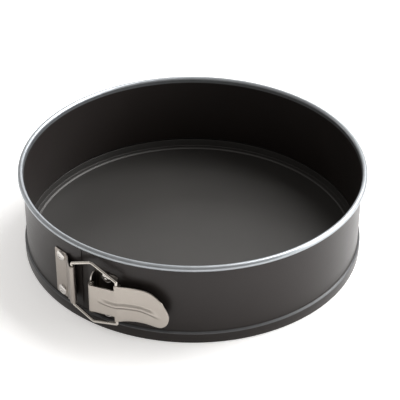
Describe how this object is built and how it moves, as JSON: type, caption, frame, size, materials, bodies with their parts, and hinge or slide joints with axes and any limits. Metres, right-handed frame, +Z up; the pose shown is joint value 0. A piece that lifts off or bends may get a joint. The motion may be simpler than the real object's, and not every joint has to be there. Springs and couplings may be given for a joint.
{
  "type": "springform cake pan",
  "caption": "Round springform baking pan: dark coated sheet-steel band with rolled rim and base channel, wire-bail toggle latch with thumb lever, and a loose base plate.",
  "frame": {"origin": "centre of the base plate's flat underside, on the surface that the pan stands on", "axes": "+Z up along the pan's round axis; -Y towards the band's seam and latch; +X to the right seen from the latch side"},
  "size_m": [0.2678, 0.2741, 0.0695],
  "materials": {
    "band_coating": "dark warm grey non-stick coating, satin",
    "base_coating": "dark non-stick coating, satin",
    "latch_sheet": "satin stainless sheet",
    "bracket_sheet": "dull dark steel sheet",
    "lever_sheet": "satin stainless sheet, pressed",
    "latch_wire": "bright drawn stainless wire",
    "rivet_steel": "bright domed rivet heads"
  },
  "bodies": {
    "band_rear": {"band_back": "band_coating"},
    "band_left_arm": {"band_left": "band_coating", "hook_plate": "latch_sheet", "hook_plate_rivet_upper": "rivet_steel", "hook_plate_rivet_lower": "rivet_steel"},
    "band_right_arm": {"band_right": "band_coating", "bracket": "bracket_sheet", "bracket_rivet_upper": "rivet_steel", "bracket_rivet_lower": "rivet_steel", "pivot_pin": "latch_wire"},
    "bail": {"bail_wire": "latch_wire"},
    "thumb_lever": {"lever": "lever_sheet"},
    "base": {"base_plate": "base_coating"}
  },
  "joints": [
    {"name": "band_right_flex", "type": "hinge", "parent": "band_rear", "child": "band_right_arm", "pos_m": [0.11631, 0.06715, 0.035], "axis": [0, 0, 1], "range_deg": [0, 4.59]},
    {"name": "band_left_flex", "type": "hinge", "parent": "band_rear", "child": "band_left_arm", "pos_m": [-0.11631, 0.06715, 0.035], "axis": [0, 0, -1], "range_deg": [0, 4.6]},
    {"name": "lever_swing", "type": "hinge", "parent": "band_right_arm", "child": "thumb_lever", "pos_m": [0.015, -0.1378, 0.032], "axis": [0, 0, -1], "range_deg": [0, 165]},
    {"name": "bail_swing", "type": "hinge", "parent": "band_left_arm", "child": "bail", "pos_m": [-0.0052, -0.1351, 0.032], "axis": [0, 0, -1], "range_deg": [0, 18.1]},
    {"name": "base_release", "type": "slide", "parent": "band_rear", "child": "base", "axis": [0, -1, 0], "range_m": [0, 0.00605]}
  ],
  "couplings": [
    {"joint": "band_left_flex", "follows": "band_right_flex", "ratio": 1},
    {"joint": "lever_swing", "follows": "band_right_flex", "ratio": 35.94},
    {"joint": "bail_swing", "follows": "band_right_flex", "ratio": 3.9378},
    {"joint": "base_release", "follows": "band_right_flex", "m_per_rad": 0.0749}
  ]
}
